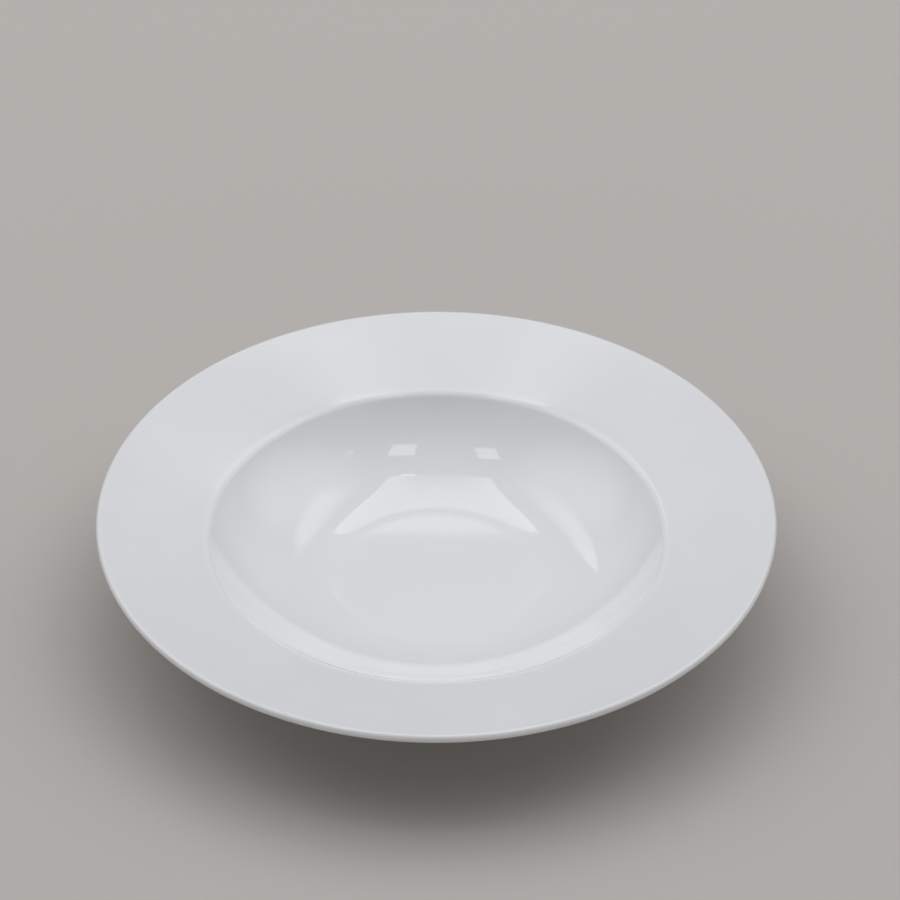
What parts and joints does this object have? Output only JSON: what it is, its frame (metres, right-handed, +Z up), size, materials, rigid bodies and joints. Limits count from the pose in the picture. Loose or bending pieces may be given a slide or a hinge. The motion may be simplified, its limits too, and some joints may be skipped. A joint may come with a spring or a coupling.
{
  "type": "deep plate",
  "caption": "Round deep plate in white glazed porcelain, with a wide sloping rim, a round-edged well and a bare-faced foot ring; serves soup, pasta or salad.",
  "frame": {"origin": "centre of the foot ring's standing face, on the table", "axes": "+Z up along the plate's axis of turning; X and Y lie in the table's plane, and every heading is alike"},
  "size_m": [0.28, 0.28, 0.0433],
  "materials": {
    "bare_porcelain": "matt, fine-grained, unglazed",
    "white_glaze": "smooth high gloss"
  },
  "bodies": {
    "root": {"porcelain_body": "bare_porcelain", "glaze_coat": "white_glaze", "base_glaze": "white_glaze"}
  },
  "joints": []
}
